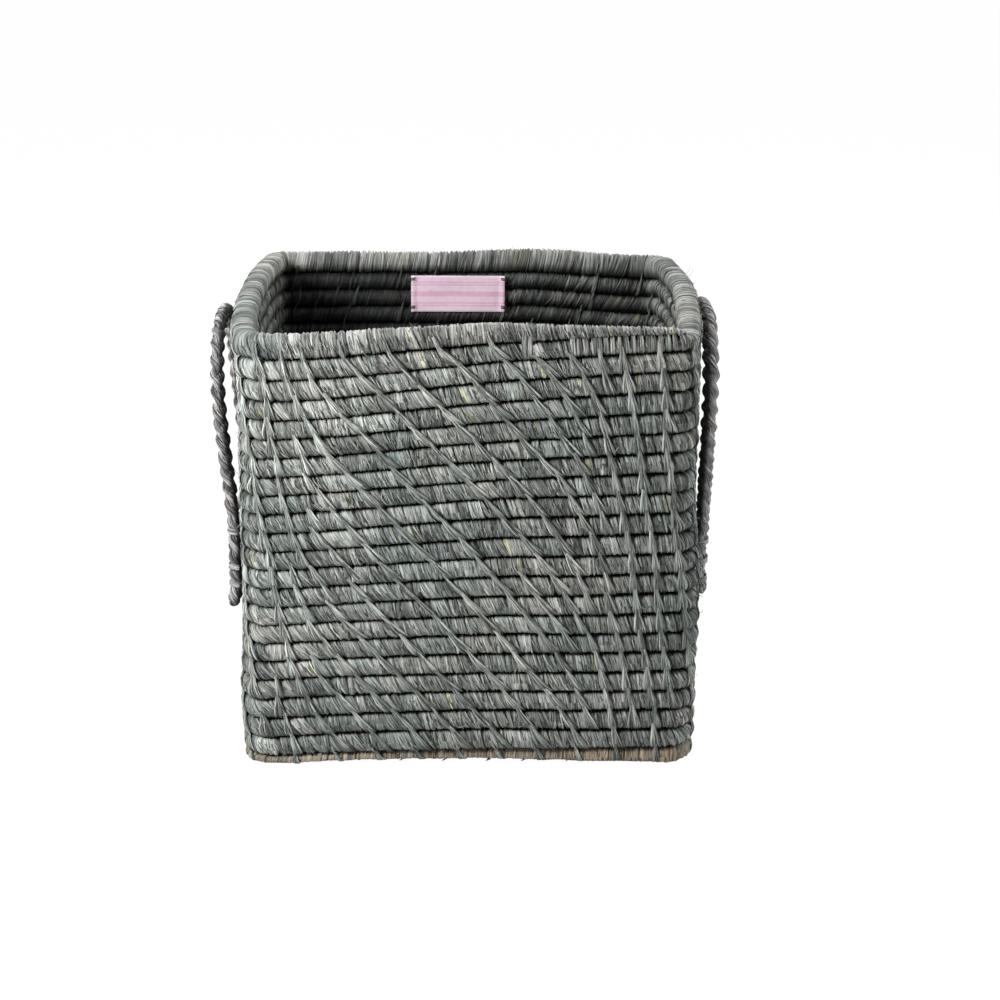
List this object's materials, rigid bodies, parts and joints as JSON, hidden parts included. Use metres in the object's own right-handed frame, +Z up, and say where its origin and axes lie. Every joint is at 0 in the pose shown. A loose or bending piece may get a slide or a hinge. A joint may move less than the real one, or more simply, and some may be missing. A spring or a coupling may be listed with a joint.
{
  "type": "square coiled raffia basket",
  "caption": "Open square storage basket of coiled raffia with a thick rim and a plaited rope loop handle on each side wall.",
  "frame": {"origin": "middle of the bottom, in the plane the basket stands on", "axes": "+X to the right seen from the front, +Y to the back, where the label is inside, +Z up"},
  "size_m": [0.2818, 0.2609, 0.2492],
  "materials": {
    "grey_raffia": "matt, wrapped strips of dyed raffia",
    "rim_raffia": "matt, close wraps of dyed raffia",
    "natural_raffia": "matt, undyed raffia",
    "plaited_rope": "matt, plait of three strands",
    "binding_raffia": "matt, pale raffia strip",
    "label_satin": "satin weave",
    "dark_thread": "matt sewing thread"
  },
  "bodies": {
    "basket": {"base_coil": "natural_raffia", "wall_coil": "grey_raffia", "rim_coil": "rim_raffia", "left_handle_front_end": "plaited_rope", "left_handle_back_end": "plaited_rope", "right_handle_front_end": "plaited_rope", "right_handle_back_end": "plaited_rope", "left_front_binding_lower": "binding_raffia", "left_front_binding_middle": "binding_raffia", "left_front_binding_upper": "binding_raffia", "left_back_binding_lower": "binding_raffia", "left_back_binding_middle": "binding_raffia", "left_back_binding_upper": "binding_raffia", "right_front_binding_lower": "binding_raffia", "right_front_binding_middle": "binding_raffia", "right_front_binding_upper": "binding_raffia", "right_back_binding_lower": "binding_raffia", "right_back_binding_middle": "binding_raffia", "right_back_binding_upper": "binding_raffia", "label": "label_satin", "label_thread_lower_left": "dark_thread", "label_thread_lower_right": "dark_thread", "label_thread_upper_left": "dark_thread", "label_thread_upper_right": "dark_thread"},
    "left_handle": {"left_handle_loop": "plaited_rope"},
    "right_handle": {"right_handle_loop": "plaited_rope"}
  },
  "joints": [
    {"name": "left_handle_swing", "type": "hinge", "parent": "basket", "child": "left_handle", "pos_m": [-0.13162, 0, 0.12047], "axis": [0, -1, 0], "range_deg": [0, 90], "stiffness_Nm_per_rad": 0.03},
    {"name": "right_handle_swing", "type": "hinge", "parent": "basket", "child": "right_handle", "pos_m": [0.13154, 0, 0.11383], "axis": [0, 1, 0], "range_deg": [0, 90], "stiffness_Nm_per_rad": 0.03}
  ]
}
